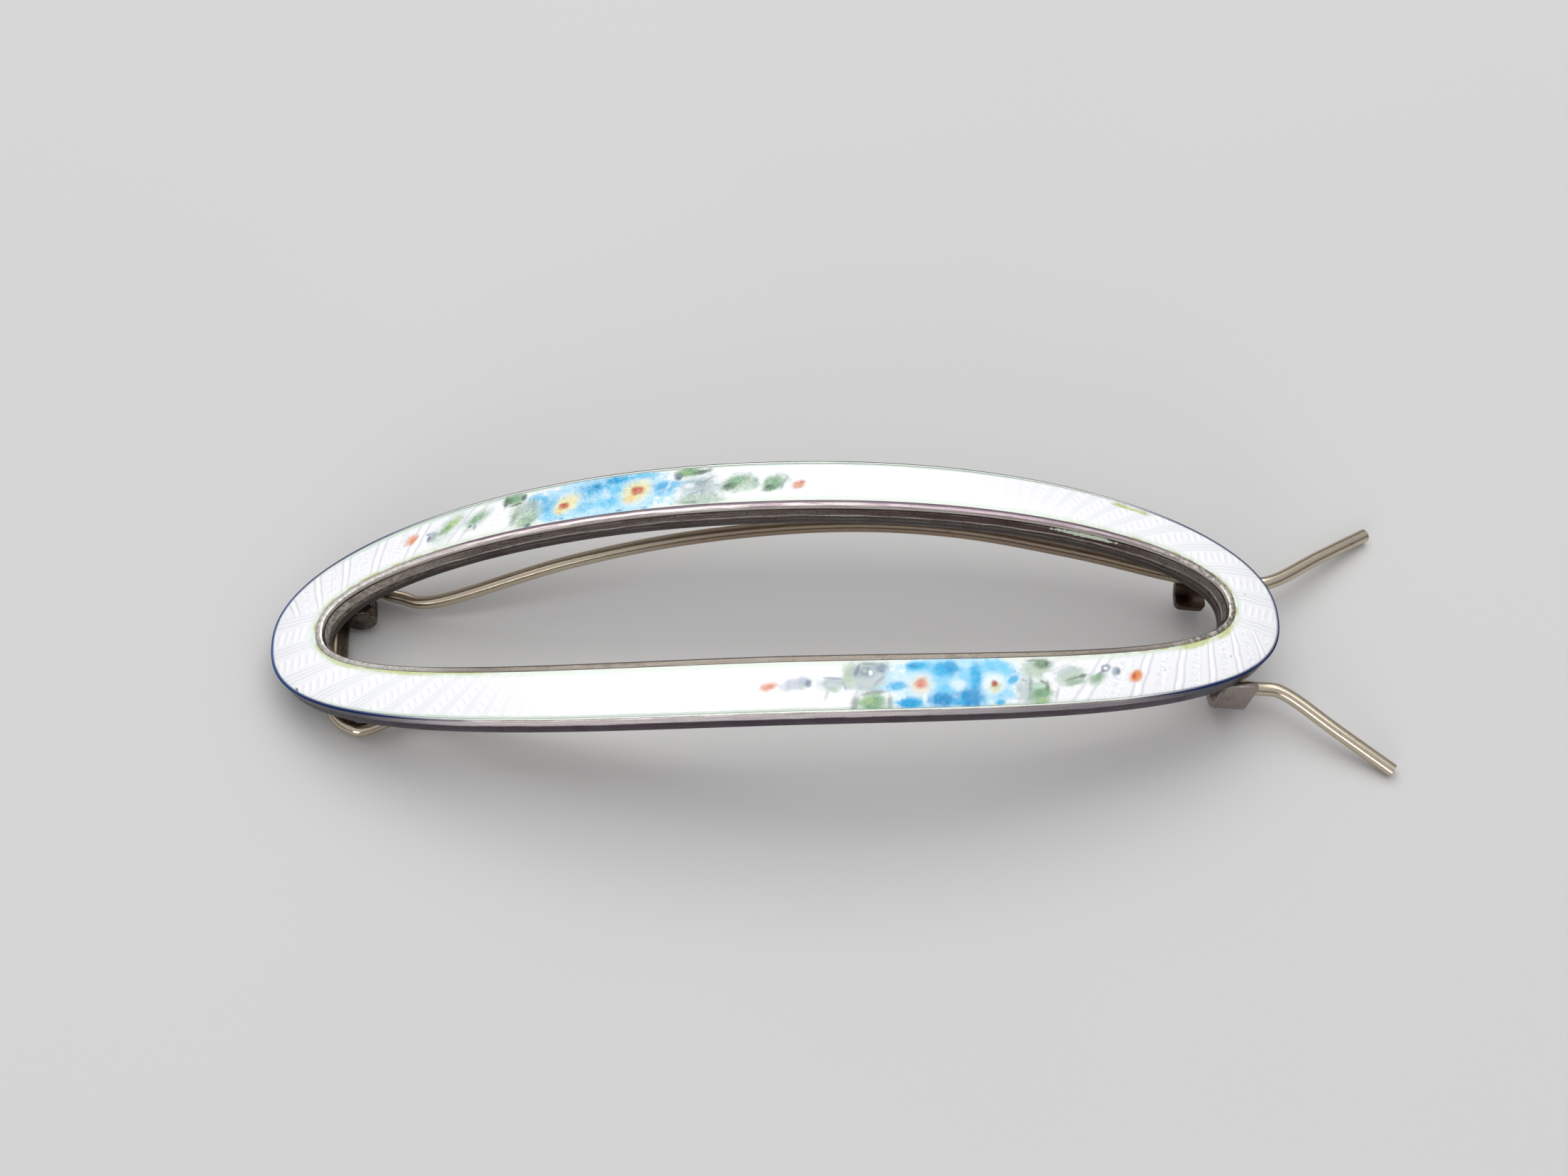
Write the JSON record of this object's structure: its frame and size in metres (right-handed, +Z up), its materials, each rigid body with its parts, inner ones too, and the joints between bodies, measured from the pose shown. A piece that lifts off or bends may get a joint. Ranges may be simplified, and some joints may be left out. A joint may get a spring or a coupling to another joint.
{
  "type": "hair slide",
  "caption": "Open oval hair slide, arched, with a white enamelled face painted with flower sprays, and a sprung wire pin that hinges under one end and clips behind hooks at the other.",
  "frame": {"origin": "middle of the bounding box's foot, on the surface that the slide lies on", "axes": "+X along the slide from the hinge end to the flared wire ends, +Y across the slide, +Z up from the surface through the top of the arch"},
  "size_m": [0.0737, 0.019, 0.01],
  "materials": {
    "silver": "polished silver, worn and lightly tarnished",
    "enamel": "glossy translucent white vitreous enamel over engraved waves, with painted sprays",
    "wire": "polished nickel silver wire, warm and lightly worn"
  },
  "bodies": {
    "pin_body": {"wire_pin": "wire"},
    "frame_body": {"slide_frame": "silver", "enamel_band": "enamel"}
  },
  "joints": [
    {"name": "ring_swing", "type": "hinge", "parent": "pin_body", "child": "frame_body", "pos_m": [-0.03289, 0, 0.00091], "axis": [0, -1, 0], "range_deg": [0, 80]}
  ]
}
